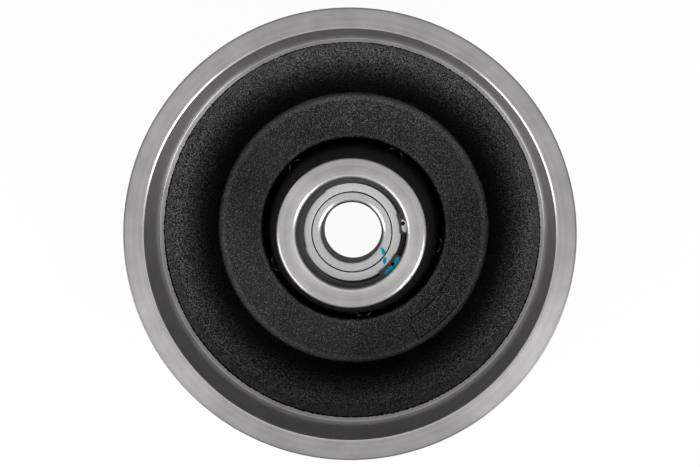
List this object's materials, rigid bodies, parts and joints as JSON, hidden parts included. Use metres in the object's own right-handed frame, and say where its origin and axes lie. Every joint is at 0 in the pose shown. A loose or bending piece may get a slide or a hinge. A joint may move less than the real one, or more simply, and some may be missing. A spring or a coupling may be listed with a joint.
{
  "type": "brake drum",
  "caption": "Cast-iron brake drum with a bolt-on wheel flange, a hub boss and a sealed double-row wheel bearing held in by a retaining ring.",
  "frame": {"origin": "on the drum's axis, in the plane of the wheel face, at the foot of the wheel spigot", "axes": "+Z along the drum's axis towards the open inboard side, +X at right angles to it, between two wheel bolts' directions as the drum was seen; the bolts stand at 60.8 degrees from +X and every 72 degrees on"},
  "size_m": [0.2792, 0.2792, 0.112],
  "materials": {
    "drum": "as cast, turned where it works",
    "bearing_steel": "ground",
    "ball_steel": "polished",
    "dark_steel": "phosphated",
    "spring_steel": "phosphated and oiled",
    "seal_steel": "matt",
    "seal_rubber": "satin",
    "polyamide": "moulded"
  },
  "bodies": {
    "drum": {"drum": "drum", "bearing_outer_ring": "dark_steel", "circlip": "spring_steel", "seal_case_inboard": "seal_steel", "seal_case_outboard": "seal_steel", "seal_lip_inboard": "seal_rubber", "seal_lip_outboard": "seal_rubber"},
    "inner_race": {"inner_ring_inboard": "bearing_steel", "inner_ring_outboard": "bearing_steel"},
    "cage_row_inboard": {"cage_inboard": "polyamide", "ball_inboard_01": "ball_steel", "ball_inboard_02": "ball_steel", "ball_inboard_03": "ball_steel", "ball_inboard_04": "ball_steel", "ball_inboard_05": "ball_steel", "ball_inboard_06": "ball_steel", "ball_inboard_07": "ball_steel", "ball_inboard_08": "ball_steel", "ball_inboard_09": "ball_steel", "ball_inboard_10": "ball_steel", "ball_inboard_11": "ball_steel", "ball_inboard_12": "ball_steel", "ball_inboard_13": "ball_steel", "ball_inboard_14": "ball_steel"},
    "cage_row_outboard": {"cage_outboard": "polyamide", "ball_outboard_01": "ball_steel", "ball_outboard_02": "ball_steel", "ball_outboard_03": "ball_steel", "ball_outboard_04": "ball_steel", "ball_outboard_05": "ball_steel", "ball_outboard_06": "ball_steel", "ball_outboard_07": "ball_steel", "ball_outboard_08": "ball_steel", "ball_outboard_09": "ball_steel", "ball_outboard_10": "ball_steel", "ball_outboard_11": "ball_steel", "ball_outboard_12": "ball_steel", "ball_outboard_13": "ball_steel", "ball_outboard_14": "ball_steel"}
  },
  "joints": [
    {"name": "inner_race_spin", "type": "hinge", "parent": "drum", "child": "inner_race", "pos_m": [0, 0, 0.0375], "axis": [0, 0, 1], "continuous": true},
    {"name": "cage_spin_inboard", "type": "hinge", "parent": "drum", "child": "cage_row_inboard", "pos_m": [0, 0, 0.0451], "axis": [0, 0, 1], "continuous": true},
    {"name": "cage_spin_outboard", "type": "hinge", "parent": "drum", "child": "cage_row_outboard", "pos_m": [0, 0, 0.0299], "axis": [0, 0, 1], "continuous": true}
  ],
  "couplings": [
    {"joint": "cage_spin_inboard", "follows": "inner_race_spin", "ratio": 0.42},
    {"joint": "cage_spin_outboard", "follows": "inner_race_spin", "ratio": 0.42}
  ]
}
